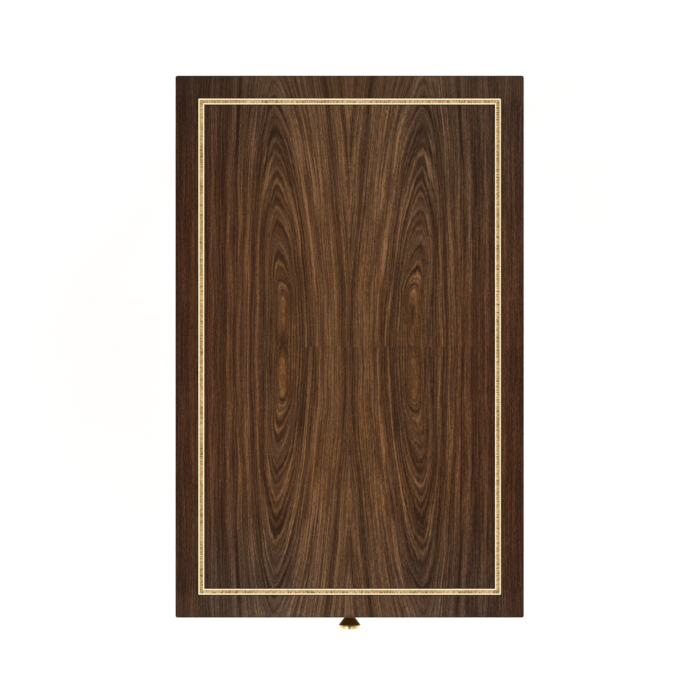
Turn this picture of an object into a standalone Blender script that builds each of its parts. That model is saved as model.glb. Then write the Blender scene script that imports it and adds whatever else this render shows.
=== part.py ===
"""Side table: a matched veneer top with inlaid banding, tapered legs and one drawer with a brass knob.

Run with: blender --background --python part.py
Metres, +Z up. The drawer faces -Y, left is -X. The origin is on the floor, in the middle of the
table's outline seen from above, knob included.
"""
import math

import bmesh
import bpy
from mathutils import Vector

# The whole table
TABLE_HEIGHT = 0.635
TOP_WIDTH = 0.4572
TOP_DEPTH = 0.7112
TOP_THICKNESS = 0.0222
TOP_OVERHANG = 0.005
TOP_CORNER_RADIUS = 0.0025
TOP_ARRIS = 0.0005

# Fits between pieces
SEAT_GAP = 0.0003
JOINT_LINE = 0.0001
OVERRUN = 0.002

# Layers of the top
VENEER_THICKNESS = 0.0008
LIPPING_WIDTH = 0.008
BANDING_INSET = 0.0302
BANDING_DEPTH = 0.0016
STRING_WIDTH = 0.0017
BAND_WIDTH = 0.0042

# Legs and their brass sabots
LEG_SIZE = 0.036
LEG_ARRIS = 0.001
FOOT_SIZE = 0.022
KNEE_DROP = 0.012
SABOT_HEIGHT = 0.048
SABOT_WALL = 0.0012
SABOT_FLOOR = 0.003
SABOT_COLLAR_HEIGHT = 0.004
SABOT_COLLAR_STEP = 0.0012
SABOT_ARRIS = 0.0004

# Aprons and rails round the drawer
APRON_HEIGHT = 0.125
APRON_THICKNESS = 0.019
APRON_REVEAL = 0.0015
APRON_ARRIS = 0.0008
TENON_THICKNESS = 0.008
TENON_SHOULDER = 0.012
TENON_SPACING = 0.005
TOP_RAIL_HEIGHT = 0.016
BOTTOM_RAIL_HEIGHT = 0.019
RAIL_TAIL_HEIGHT = 0.012
RAIL_TAIL_ROOT_WIDTH = 0.016
RAIL_TAIL_END_WIDTH = 0.022
RAIL_TENON_HEIGHT = 0.011
RAIL_TENON_WIDTH = 0.024

# Runners, kickers and stops that guide the drawer
RUNNER_HEIGHT = 0.019
RUNNER_LEDGE = 0.014
GUIDE_HEIGHT = 0.016
GUIDE_CLEARANCE = 0.0008
KICKER_LEDGE = 0.012
STOP_WIDTH = 0.030
STOP_HEIGHT = 0.004
STOP_SETBACK = 0.002
STOP_SPACING = 0.200
STOP_ARRIS = 0.0005

# Drawer box
DRAWER_REAR_SPACE = 0.1392
DRAWER_SIDE_CLEARANCE = 0.0015
DRAWER_TOP_CLEARANCE = 0.0014
DRAWER_BOTTOM_CLEARANCE = 0.0010
DRAWER_FRONT_THICKNESS = 0.019
DRAWER_FRONT_ARRIS = 0.0006
DRAWER_STRING_INSET = 0.009
DRAWER_STRING_WIDTH = 0.0018
DRAWER_STRING_DEPTH = 0.0016
DRAWER_BOARD_THICKNESS = 0.012
DRAWER_SIDE_DROP = 0.0008
DRAWER_PANEL_THICKNESS = 0.006
DRAWER_PANEL_RISE = 0.008
DRAWER_GROOVE_DEPTH = 0.006
TAIL_COUNT = 4
TAIL_LAP = 0.005
TAIL_END_SHARE = 0.78
TAIL_ROOT_SHARE = 0.56

# Turn button that stops the drawer from being pulled right out
BUTTON_LENGTH = 0.046
BUTTON_WIDTH = 0.014
BUTTON_THICKNESS = 0.006
BUTTON_PIVOT_DROP = 0.016
BUTTON_CATCH = 0.008
BUTTON_ARRIS = 0.001
BUTTON_SCREW_RADIUS = 0.0018
BUTTON_SCREW_HEAD_RADIUS = 0.0038
BUTTON_SCREW_HEAD_HEIGHT = 0.0022
BUTTON_SCREW_BITE = 0.009
BUTTON_RUNNING_GAP = 0.0005

# Brass knob, turned about the drawer's centre line
KNOB_LENGTH = 0.0324
KNOB_RADIUS = 0.0153
KNOB_BASE_RADIUS = 0.0088
KNOB_BASE_HEIGHT = 0.0016
KNOB_NECK_RADIUS = 0.0060
KNOB_NECK_END = 0.0130
KNOB_WAIST_RADIUS = 0.0070
KNOB_WAIST_AT = 0.0156
KNOB_FLARE_RADIUS = 0.0098
KNOB_FLARE_AT = 0.0187
KNOB_RIM_AT = 0.0259
KNOB_RIM_WIDTH = 0.0008
KNOB_SHOULDER_RADIUS = 0.0139
KNOB_SHOULDER_AT = 0.0278
KNOB_FACE_RADIUS = 0.0119
KNOB_FACE_DOME = 0.0028
KNOB_STEPS = 40
KNOB_SCREW_RADIUS = 0.0020
KNOB_SCREW_HEAD_RADIUS = 0.0045
KNOB_SCREW_HEAD_HEIGHT = 0.0026
KNOB_SCREW_BITE = 0.012

# Screws that hold the top down through the kickers
TOP_SCREW_RADIUS = 0.0022
TOP_SCREW_HEAD_RADIUS = 0.0045
TOP_SCREW_HEAD_HEIGHT = 0.0026
TOP_SCREW_SINK = 0.0010
TOP_SCREW_BITE = 0.014
TOP_SCREW_SPACING = 0.400
SCREW_STEPS = 16
SLOT_WIDTH = 0.0009
SLOT_DEPTH = 0.0010

# Places that follow from the sizes
KNOB_REACH = SEAT_GAP + KNOB_LENGTH - TOP_OVERHANG - APRON_REVEAL
TOP_CENTRE_Y = KNOB_REACH / 2
TOP_FRONT_Y = TOP_CENTRE_Y - TOP_DEPTH / 2
TOP_BACK_Y = TOP_CENTRE_Y + TOP_DEPTH / 2
TOP_UNDER_Z = TABLE_HEIGHT - TOP_THICKNESS
VENEER_UNDER_Z = TABLE_HEIGHT - VENEER_THICKNESS
CORE_TOP_Z = VENEER_UNDER_Z - JOINT_LINE
BANDING_UNDER_Z = TABLE_HEIGHT - BANDING_DEPTH
BANDING_WIDTH = 2 * STRING_WIDTH + BAND_WIDTH

CASE_HALF_WIDTH = TOP_WIDTH / 2 - TOP_OVERHANG
CASE_FRONT_Y = TOP_FRONT_Y + TOP_OVERHANG
CASE_BACK_Y = TOP_BACK_Y - TOP_OVERHANG
CASE_TOP_Z = TOP_UNDER_Z - SEAT_GAP
APRON_UNDER_Z = CASE_TOP_Z - APRON_HEIGHT
KNEE_Z = APRON_UNDER_Z - KNEE_DROP
LEG_INNER_X = CASE_HALF_WIDTH - LEG_SIZE
APRON_OUTER_X = CASE_HALF_WIDTH - APRON_REVEAL
APRON_INNER_X = APRON_OUTER_X - APRON_THICKNESS
APRON_CHEEK = (APRON_THICKNESS - TENON_THICKNESS) / 2
TENON_LENGTH = LEG_SIZE - APRON_REVEAL - APRON_THICKNESS + APRON_CHEEK - TENON_SPACING
FACE_Y = CASE_FRONT_Y + APRON_REVEAL
RAIL_BACK_Y = CASE_FRONT_Y + LEG_SIZE
BETWEEN_LEGS_FRONT_Y = CASE_FRONT_Y + LEG_SIZE + SEAT_GAP
BETWEEN_LEGS_BACK_Y = CASE_BACK_Y - LEG_SIZE - SEAT_GAP

OPENING_TOP_Z = CASE_TOP_Z - TOP_RAIL_HEIGHT
OPENING_BOTTOM_Z = APRON_UNDER_Z + BOTTOM_RAIL_HEIGHT
DRAWER_HALF_WIDTH = LEG_INNER_X - DRAWER_SIDE_CLEARANCE
DRAWER_BACK_Y = CASE_BACK_Y - APRON_REVEAL - APRON_THICKNESS - DRAWER_REAR_SPACE
FRONT_BOTTOM_Z = OPENING_BOTTOM_Z + DRAWER_BOTTOM_CLEARANCE
FRONT_TOP_Z = OPENING_TOP_Z - DRAWER_TOP_CLEARANCE
FRONT_BACK_Y = FACE_Y + DRAWER_FRONT_THICKNESS
SIDE_BOTTOM_Z = OPENING_BOTTOM_Z + SEAT_GAP
SIDE_TOP_Z = FRONT_TOP_Z - DRAWER_SIDE_DROP
SIDE_INNER_X = DRAWER_HALF_WIDTH - DRAWER_BOARD_THICKNESS
PANEL_UNDER_Z = SIDE_BOTTOM_Z + DRAWER_PANEL_RISE
PANEL_TOP_Z = PANEL_UNDER_Z + DRAWER_PANEL_THICKNESS
KNOB_Z = (FRONT_BOTTOM_Z + FRONT_TOP_Z) / 2
BUTTON_TOP_Z = OPENING_TOP_Z + BUTTON_CATCH
BUTTON_PIVOT_Z = BUTTON_TOP_Z - BUTTON_PIVOT_DROP
BUTTON_FRONT_Y = DRAWER_BACK_Y + BUTTON_RUNNING_GAP

SIDES = (("left", -1), ("right", 1))
ENDS = (("front", -1), ("back", 1))
UPWARD = (0.0, 0.0, 0.0)
FORWARD = (math.pi / 2, 0.0, 0.0)
ALONG, UP = 1, 2


def clear_scene():
    for obj in list(bpy.data.objects):
        bpy.data.objects.remove(obj)


def new_collection(name):
    collection = bpy.data.collections.new(name)
    bpy.context.scene.collection.children.link(collection)
    return collection


def material(name, colour, roughness, metallic=0.0):
    made = bpy.data.materials.new(name)
    made.use_nodes = True
    shader = made.node_tree.nodes["Principled BSDF"]
    shader.inputs["Base Color"].default_value = (*colour, 1.0)
    shader.inputs["Roughness"].default_value = roughness
    shader.inputs["Metallic"].default_value = metallic
    made.diffuse_color = (*colour, 1.0)
    return made


def axis_empty(name, place):
    """An empty that stands on a joint's axis, for the pieces that move about it."""
    empty = bpy.data.objects.new(name, None)
    empty.location = place
    TABLE.objects.link(empty)
    return empty


def finish_object(obj, look, parent):
    TABLE.objects.link(obj)
    obj.data.materials.append(look)
    if parent:
        obj.parent = parent
        obj.location = obj.location - parent.location
    return obj


def face_outward(work):
    work.normal_update()
    bmesh.ops.recalc_face_normals(work, faces=work.faces)


def block_mesh(name, corner, centre):
    """A cube with its corners at corner(x, y, z), where each sign is -1 or 1, as seen from centre."""
    mesh = bpy.data.meshes.new(name)
    work = bmesh.new()
    bmesh.ops.create_cube(work, size=2.0)
    for vert in work.verts:
        vert.co = Vector(corner(*(round(part) for part in vert.co))) - centre
    face_outward(work)
    work.to_mesh(mesh)
    work.free()
    return mesh


def placed(mesh, name, centre):
    obj = bpy.data.objects.new(name, mesh)
    obj.location = centre
    return obj


def box_corners(low, high):
    def corner(x, y, z):
        return [high[i] if sign > 0 else low[i] for i, sign in enumerate((x, y, z))]

    return corner


def middle(corner):
    signs = (-1, 1)
    points = [Vector(corner(x, y, z)) for x in signs for y in signs for z in signs]
    return sum(points, Vector()) / len(points)


def block(name, corner, look, parent=None, arris=0.0):
    """A board whose eight corners corner() gives, its edges eased by the width arris."""
    centre = middle(corner)
    obj = finish_object(placed(block_mesh(name, corner, centre), name, centre), look, parent)
    if arris:
        ease(obj, arris)
    return obj


def box(name, low, high, look, parent=None, arris=0.0):
    return block(name, box_corners(low, high), look, parent, arris)


def cutter(name, corner):
    """A helper block that a Boolean takes from, adds to or keeps of a piece."""
    centre = middle(corner)
    obj = placed(block_mesh(name, corner, centre), name, centre)
    return hide_cutter(obj)


def hide_cutter(obj):
    CUTTERS.objects.link(obj)
    obj.hide_render = True
    obj.display_type = "WIRE"
    return obj


def box_cutter(name, low, high):
    return cutter(name, box_corners(low, high))


def boolean(obj, other, operation):
    made = obj.modifiers.new(f"{operation.lower()}_{other.name}", "BOOLEAN")
    made.operation = operation
    made.object = other


def cut(obj, *cutters):
    for other in cutters:
        boolean(obj, other, "DIFFERENCE")


def ease(obj, width, segments=2):
    bevel = obj.modifiers.new("eased_edges", "BEVEL")
    bevel.width = width
    bevel.segments = segments
    bevel.limit_method = "ANGLE"
    obj.data.shade_smooth()
    obj.data.set_sharp_from_angle(angle=math.radians(30))


def turned_mesh(name, profile, steps):
    """A mesh turned about Z. The profile runs down its outer side as (radius, height) points."""
    mesh = bpy.data.meshes.new(name)
    count = len(profile)
    edges = [(i, i + 1) for i in range(count - 1)]
    mesh.from_pydata([(radius, 0.0, height) for radius, height in profile], edges, [])
    helper = bpy.data.objects.new(name, mesh)
    CUTTERS.objects.link(helper)
    screw = helper.modifiers.new("turned", "SCREW")
    screw.steps = steps
    screw.render_steps = steps
    screw.use_merge_vertices = True
    screw.merge_threshold = 0.00001
    bpy.context.view_layer.update()
    done = bpy.data.meshes.new_from_object(helper.evaluated_get(bpy.context.evaluated_depsgraph_get()))
    done.name = name
    bpy.data.objects.remove(helper)
    done.shade_smooth()
    done.set_sharp_from_angle(angle=math.radians(30))
    return done


def bore_cutter(name, profile, centre, turn):
    """A round cutter with its profile measured from centre, along its own Z, then turned."""
    obj = placed(turned_mesh(name, profile, SCREW_STEPS), name, centre)
    obj.rotation_euler = turn
    return hide_cutter(obj)


def plain_bore(radius, low, high):
    return [(0.0, high), (radius, high), (radius, low), (0.0, low)]


def ring_cutter(name, low, high, width, axis):
    """A rectangular ring, open along one axis, with its outside from low to high."""
    outer = box_cutter(name, low, high)
    reach = [-OVERRUN if i == axis else width for i in range(len(low))]
    inner_low = [part + step for part, step in zip(low, reach)]
    inner_high = [part - step for part, step in zip(high, reach)]
    cut(outer, box_cutter(f"{name}_hollow", inner_low, inner_high))
    return outer


def slotted_screw(name, centre, turn, parent, length, radius, head_radius, head_height):
    """A screw with its shank up +Z from the head's seat, and a driver slot in the head."""
    profile = [
        (0.0, length),
        (radius / 2, length),
        (radius, length - radius),
        (radius, 0.0),
        (head_radius, 0.0),
        (head_radius, -head_height / 2),
        (head_radius * 3 / 4, -head_height),
        (0.0, -head_height),
    ]
    obj = placed(turned_mesh(name, profile, SCREW_STEPS), name, centre)
    obj.rotation_euler = turn
    finish_object(obj, STEEL, parent)
    reach = head_radius + OVERRUN
    slot = cutter(
        f"{name}_slot",
        box_corners(
            (-reach, -SLOT_WIDTH / 2, -head_height - OVERRUN),
            (reach, SLOT_WIDTH / 2, SLOT_DEPTH - head_height),
        ),
    )
    slot.parent = obj
    cut(obj, slot)
    return obj


def y_taper(x_low, x_high, z, half_at, y_root, y_end):
    """A wedge along Y, centred on the height z, whose half height at y is half_at(y)."""

    def corner(x, y, up):
        along = y_end if y > 0 else y_root
        return (x_high if x > 0 else x_low, along, z + up * half_at(along))

    return corner


# The top


def make_top_outline():
    """The finished outline of the top: rounded corners, and eased edges above and below."""
    low = Vector((-TOP_WIDTH / 2, TOP_FRONT_Y, TOP_UNDER_Z))
    high = Vector((TOP_WIDTH / 2, TOP_BACK_Y, TABLE_HEIGHT))
    outline = box_cutter("top_outline", low, high)
    work = bmesh.new()
    work.from_mesh(outline.data)
    upright = [e for e in work.edges if abs(e.verts[0].co.z - e.verts[1].co.z) > TOP_THICKNESS / 2]
    bmesh.ops.bevel(work, geom=upright, offset=TOP_CORNER_RADIUS, segments=4, profile=0.5, affect="EDGES")
    flat_faces = [f for f in work.faces if abs(f.normal.z) > math.cos(math.radians(45))]
    rim = {e for f in flat_faces for e in f.edges}
    bmesh.ops.bevel(work, geom=list(rim), offset=TOP_ARRIS, segments=2, profile=0.5, affect="EDGES")
    work.to_mesh(outline.data)
    work.free()
    return outline


def side_frames():
    """For each side of the top: its name, half its length, its distance out and its turn about Z."""
    half_width, half_depth = TOP_WIDTH / 2, TOP_DEPTH / 2
    return (
        ("front", half_width, half_depth, 0.0),
        ("right", half_depth, half_width, math.pi / 2),
        ("back", half_width, half_depth, math.pi),
        ("left", half_depth, half_width, -math.pi / 2),
    )


def mitred_strips(name, inset, width, low_z, high_z, look, spare=0.0):
    """Four strips that meet in mitres, inset from the top's edge. Spare is extra width on the outside."""
    strips = []
    for side, half_length, out, turn in side_frames():
        outer = out - inset + spare
        inner = out - inset - width
        outer_half = half_length - inset + spare - JOINT_LINE
        inner_half = half_length - inset - width - JOINT_LINE

        def corner(x, y, z):
            half = inner_half if y > 0 else outer_half
            return (x * half, -inner if y > 0 else -outer, high_z if z > 0 else low_z)

        centre = middle(corner)
        strip = placed(block_mesh(f"{name}_{side}", corner, centre), f"{name}_{side}", (0, 0, 0))
        strip.rotation_euler = (0.0, 0.0, turn)
        centre.rotate(strip.rotation_euler)
        strip.location = centre + Vector((0.0, TOP_CENTRE_Y, 0.0))
        strips.append(finish_object(strip, look, None))
    return strips


def rectangle(inset):
    """The low and high corners, in X and Y, of a rectangle inset from the top's edge."""
    return (
        (inset - TOP_WIDTH / 2, TOP_FRONT_Y + inset),
        (TOP_WIDTH / 2 - inset, TOP_BACK_Y - inset),
    )


def make_core():
    """The core board inside the lippings, with a groove let in for the banding."""
    low, high = rectangle(LIPPING_WIDTH + JOINT_LINE)
    core = box("top_core", (*low, TOP_UNDER_Z), (*high, CORE_TOP_Z), BOARD)
    low, high = rectangle(BANDING_INSET - JOINT_LINE)
    floor = (*low, BANDING_UNDER_Z - JOINT_LINE)
    above = (*high, TABLE_HEIGHT + OVERRUN)
    cut(core, ring_cutter("banding_groove", floor, above, BANDING_WIDTH + 2 * JOINT_LINE, UP))
    return core


def make_lippings(outline):
    """Solid edges of rosewood round the core, trimmed to the outline."""
    under_z = TOP_UNDER_Z - OVERRUN
    for strip in mitred_strips("lipping", 0.0, LIPPING_WIDTH, under_z, CORE_TOP_Z, ROSEWOOD, OVERRUN):
        boolean(strip, outline, "INTERSECT")


def make_veneers(outline):
    """Four matched leaves. The banding divides each into a field and an L-shaped border."""
    low, high = rectangle(BANDING_INSET - JOINT_LINE)
    window_low, window_high = (*low, VENEER_UNDER_Z - OVERRUN), (*high, TABLE_HEIGHT + OVERRUN)
    window = box_cutter("border_window", window_low, window_high)
    field_inset = BANDING_INSET + BANDING_WIDTH + JOINT_LINE
    seam = JOINT_LINE / 2
    for end, away in ENDS:
        for side, out in SIDES:
            edge_x = out * (TOP_WIDTH / 2 + OVERRUN)
            edge_y = TOP_CENTRE_Y + away * (TOP_DEPTH / 2 + OVERRUN)
            seam_x = out * seam
            seam_y = TOP_CENTRE_Y + away * seam
            low = (min(edge_x, seam_x), min(edge_y, seam_y), VENEER_UNDER_Z)
            high = (max(edge_x, seam_x), max(edge_y, seam_y), TABLE_HEIGHT + OVERRUN)
            border = box(f"border_veneer_{end}_{side}", low, high, VENEER)
            boolean(border, outline, "INTERSECT")
            cut(border, window)
            field_x = out * (TOP_WIDTH / 2 - field_inset)
            field_y = TOP_CENTRE_Y + away * (TOP_DEPTH / 2 - field_inset)
            box(
                f"field_veneer_{end}_{side}",
                (min(field_x, seam_x), min(field_y, seam_y), VENEER_UNDER_Z),
                (max(field_x, seam_x), max(field_y, seam_y), TABLE_HEIGHT),
                VENEER,
            )


def make_banding():
    """Two light strings with a cross-grained band between them, in four mitred lengths each."""
    layers = (
        ("outer_string", 0.0, STRING_WIDTH, HOLLY),
        ("centre_band", STRING_WIDTH, BAND_WIDTH, SATINWOOD),
        ("inner_string", STRING_WIDTH + BAND_WIDTH, STRING_WIDTH, HOLLY),
    )
    for name, offset, width, look in layers:
        inset = BANDING_INSET + offset + JOINT_LINE / 2
        mitred_strips(name, inset, width - JOINT_LINE, BANDING_UNDER_Z, TABLE_HEIGHT, look)


# Legs, aprons and rails


def leg_reach(z):
    """How far the leg reaches in from its outer faces at height z: the inner faces taper below the knee."""
    below = max(0.0, KNEE_Z - z) / KNEE_Z
    return LEG_SIZE - (LEG_SIZE - FOOT_SIZE) * below


def leg_corner(out, away, bottom_z, top_z, grow=0.0):
    """Corners of a stretch of leg between two heights, grown on all four sides."""
    outer_x = CASE_HALF_WIDTH
    outer_y = CASE_FRONT_Y if away < 0 else CASE_BACK_Y

    def corner(x, y, z):
        height = top_z if z > 0 else bottom_z
        reach = leg_reach(height) + grow
        across = outer_x + grow if x * out > 0 else outer_x - reach
        along = grow if y * away > 0 else -reach
        return (out * across, outer_y + away * along, height)

    return corner


def make_leg(end, away, side, out):
    """A square leg, tapered on its two inner faces from the knee down to the sabot's floor."""
    name = f"leg_{end}_{side}"
    foot_z = SABOT_FLOOR + SEAT_GAP
    upper = leg_corner(out, away, KNEE_Z, CASE_TOP_Z)
    lower = leg_corner(out, away, foot_z, KNEE_Z)
    centre = middle(upper)
    mesh = bpy.data.meshes.new(name)
    work = bmesh.new()
    bmesh.ops.create_cube(work, size=2.0)
    whole = work.verts[:] + work.edges[:] + work.faces[:]
    bmesh.ops.bisect_plane(work, geom=whole, plane_co=(0, 0, 0), plane_no=(0, 0, 1))
    for vert in work.verts:
        x, y, level = (round(part) for part in vert.co)
        spot = lower(x, y, -1) if level < 0 else upper(x, y, 1 if level > 0 else -1)
        vert.co = Vector(spot) - centre
    face_outward(work)
    work.to_mesh(mesh)
    work.free()
    leg = finish_object(placed(mesh, name, centre), ROSEWOOD, None)
    ease(leg, LEG_ARRIS)
    return leg


def make_sabot(end, away, side, out):
    """A closed brass cup on the foot, with a collar at its top."""
    name = f"sabot_{end}_{side}"
    collar_z = SABOT_HEIGHT - SABOT_COLLAR_HEIGHT
    wall = SEAT_GAP + SABOT_WALL
    sabot = block(name, leg_corner(out, away, 0.0, SABOT_HEIGHT, wall), BRASS, arris=SABOT_ARRIS)
    collar = cutter(
        f"{name}_collar", leg_corner(out, away, collar_z, SABOT_HEIGHT + SEAT_GAP, wall + SABOT_COLLAR_STEP)
    )
    boolean(sabot, collar, "UNION")
    cup = cutter(f"{name}_cup", leg_corner(out, away, SABOT_FLOOR, SABOT_HEIGHT + OVERRUN, SEAT_GAP))
    cut(sabot, cup)
    return sabot


def box_pair(name, low, high):
    """A tenon's own block, and the mortise that takes it with the seat gap all round."""
    grown_low = [part - SEAT_GAP for part in low]
    grown_high = [part + SEAT_GAP for part in high]
    return box_cutter(f"{name}_tenon", low, high), box_cutter(f"{name}_mortise", grown_low, grown_high)


def spanning(a, b):
    return min(a, b), max(a, b)


def make_side_apron(side, out, legs):
    """A side apron, tenoned into the front and back legs."""
    low_x, high_x = spanning(out * APRON_INNER_X, out * APRON_OUTER_X)
    apron = box(
        f"apron_{side}",
        (low_x, BETWEEN_LEGS_FRONT_Y, APRON_UNDER_Z),
        (high_x, BETWEEN_LEGS_BACK_Y, CASE_TOP_Z),
        ROSEWOOD,
        arris=APRON_ARRIS,
    )
    for end, shoulder_y in (("front", BETWEEN_LEGS_FRONT_Y), ("back", BETWEEN_LEGS_BACK_Y)):
        tenon, mortise = box_pair(
            f"apron_{side}_{end}",
            (low_x + APRON_CHEEK, shoulder_y - TENON_LENGTH, APRON_UNDER_Z + TENON_SHOULDER),
            (high_x - APRON_CHEEK, shoulder_y + TENON_LENGTH, CASE_TOP_Z - TENON_SHOULDER),
        )
        boolean(apron, tenon, "UNION")
        cut(legs[end, side], mortise)
    return apron


def make_back_apron(legs):
    """The back apron, tenoned into the back legs."""
    half = LEG_INNER_X - SEAT_GAP
    outer_y = CASE_BACK_Y - APRON_REVEAL
    inner_y = outer_y - APRON_THICKNESS
    apron = box(
        "apron_back",
        (-half, inner_y, APRON_UNDER_Z),
        (half, outer_y, CASE_TOP_Z),
        ROSEWOOD,
        arris=APRON_ARRIS,
    )
    for side, out in SIDES:
        tenon, mortise = box_pair(
            f"apron_back_{side}",
            (out * half - TENON_LENGTH, inner_y + APRON_CHEEK, APRON_UNDER_Z + TENON_SHOULDER),
            (out * half + TENON_LENGTH, outer_y - APRON_CHEEK, CASE_TOP_Z - TENON_SHOULDER),
        )
        boolean(apron, tenon, "UNION")
        cut(legs["back", side], mortise)
    return apron


def make_top_rail(legs):
    """The rail over the drawer, with a dovetail let down into the top of each front leg."""
    half = LEG_INNER_X - SEAT_GAP
    rail = box(
        "front_top_rail",
        (-half, FACE_Y, OPENING_TOP_Z),
        (half, RAIL_BACK_Y, CASE_TOP_Z),
        ROSEWOOD,
        arris=APRON_ARRIS,
    )
    mid_y = (FACE_Y + RAIL_BACK_Y) / 2
    tail_under_z = CASE_TOP_Z - RAIL_TAIL_HEIGHT
    slope = (RAIL_TAIL_END_WIDTH - RAIL_TAIL_ROOT_WIDTH) / (2 * TENON_LENGTH)

    def tail(out, grow, top_z, under_z):
        root_x = half - TENON_LENGTH
        end_x = half + TENON_LENGTH + grow

        def corner(x, y, z):
            at_end = x > 0
            across = end_x if at_end else root_x
            half_y = RAIL_TAIL_ROOT_WIDTH / 2 + slope * (across - half) + grow
            return (out * across, mid_y + y * half_y, top_z if z > 0 else under_z)

        return corner

    for side, out in SIDES:
        boolean(rail, cutter(f"top_rail_tail_{side}", tail(out, 0.0, CASE_TOP_Z, tail_under_z)), "UNION")
        socket = cutter(
            f"top_rail_socket_{side}", tail(out, SEAT_GAP, CASE_TOP_Z + OVERRUN, tail_under_z - SEAT_GAP)
        )
        cut(legs["front", side], socket)
    return rail


def make_bottom_rail(legs):
    """The rail under the drawer, tenoned into the front legs."""
    half = LEG_INNER_X - SEAT_GAP
    rail = box(
        "front_bottom_rail",
        (-half, FACE_Y, APRON_UNDER_Z),
        (half, RAIL_BACK_Y, OPENING_BOTTOM_Z),
        ROSEWOOD,
        arris=APRON_ARRIS,
    )
    mid_y = (FACE_Y + RAIL_BACK_Y) / 2
    mid_z = (APRON_UNDER_Z + OPENING_BOTTOM_Z) / 2
    for side, out in SIDES:
        tenon, mortise = box_pair(
            f"bottom_rail_{side}",
            (out * half - TENON_LENGTH, mid_y - RAIL_TENON_WIDTH / 2, mid_z - RAIL_TENON_HEIGHT / 2),
            (out * half + TENON_LENGTH, mid_y + RAIL_TENON_WIDTH / 2, mid_z + RAIL_TENON_HEIGHT / 2),
        )
        boolean(rail, tenon, "UNION")
        cut(legs["front", side], mortise)
    return rail


def make_runner(side, out):
    """An L-shaped runner: a ledge under the drawer side, and a guide beside it."""
    ledge_x = DRAWER_HALF_WIDTH - RUNNER_LEDGE
    guide_x = DRAWER_HALF_WIDTH + GUIDE_CLEARANCE
    guide_top_z = OPENING_BOTTOM_Z + GUIDE_HEIGHT
    low_x, high_x = spanning(out * ledge_x, out * (APRON_INNER_X - SEAT_GAP))
    runner = box(
        f"runner_{side}",
        (low_x, BETWEEN_LEGS_FRONT_Y, OPENING_BOTTOM_Z - RUNNER_HEIGHT),
        (high_x, BETWEEN_LEGS_BACK_Y, guide_top_z),
        BEECH,
    )
    low_x, high_x = spanning(out * (ledge_x - OVERRUN), out * guide_x)
    rebate = box_cutter(
        f"runner_{side}_rebate",
        (low_x, BETWEEN_LEGS_FRONT_Y - OVERRUN, OPENING_BOTTOM_Z),
        (high_x, BETWEEN_LEGS_BACK_Y + OVERRUN, guide_top_z + OVERRUN),
    )
    cut(runner, rebate)
    return runner


def make_kicker(side, out, core):
    """A strip above the drawer side that keeps the drawer from tipping, and takes the top's screws."""
    outer_x = APRON_INNER_X - SEAT_GAP
    low_x, high_x = spanning(out * (DRAWER_HALF_WIDTH - KICKER_LEDGE), out * outer_x)
    kicker = box(
        f"kicker_{side}",
        (low_x, BETWEEN_LEGS_FRONT_Y, OPENING_TOP_Z),
        (high_x, BETWEEN_LEGS_BACK_Y, CASE_TOP_Z),
        BEECH,
    )
    screw_x = out * (LEG_INNER_X + outer_x) / 2
    seat_z = OPENING_TOP_Z + TOP_SCREW_SINK + TOP_SCREW_HEAD_HEIGHT
    length = TOP_UNDER_Z + TOP_SCREW_BITE - seat_z
    for end, away in ENDS:
        centre = Vector((screw_x, TOP_CENTRE_Y + away * TOP_SCREW_SPACING / 2, seat_z))
        name = f"top_screw_{end}_{side}"
        shape = (TOP_SCREW_RADIUS, TOP_SCREW_HEAD_RADIUS, TOP_SCREW_HEAD_HEIGHT)
        slotted_screw(name, centre, UPWARD, None, length, *shape)
        hole_radius = TOP_SCREW_RADIUS + SEAT_GAP
        head_radius = TOP_SCREW_HEAD_RADIUS + SEAT_GAP
        mouth = OPENING_TOP_Z - OVERRUN - seat_z
        profile = [
            (0.0, length + SEAT_GAP),
            (hole_radius, length + SEAT_GAP),
            (hole_radius, SEAT_GAP),
            (head_radius, SEAT_GAP),
            (head_radius, mouth),
            (0.0, mouth),
        ]
        hole = bore_cutter(f"{name}_hole", profile, centre, UPWARD)
        cut(kicker, hole)
        cut(core, hole)
    return kicker


def make_stops():
    """Two blocks on the bottom rail that the drawer front closes against."""
    start_y = FRONT_BACK_Y + SEAT_GAP
    end_y = RAIL_BACK_Y - STOP_SETBACK
    under_z = OPENING_BOTTOM_Z + SEAT_GAP
    for side, out in SIDES:
        mid_x = out * STOP_SPACING / 2
        box(
            f"drawer_stop_{side}",
            (mid_x - STOP_WIDTH / 2, start_y, under_z),
            (mid_x + STOP_WIDTH / 2, end_y, under_z + STOP_HEIGHT),
            BEECH,
            arris=STOP_ARRIS,
        )


# The drawer


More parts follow.
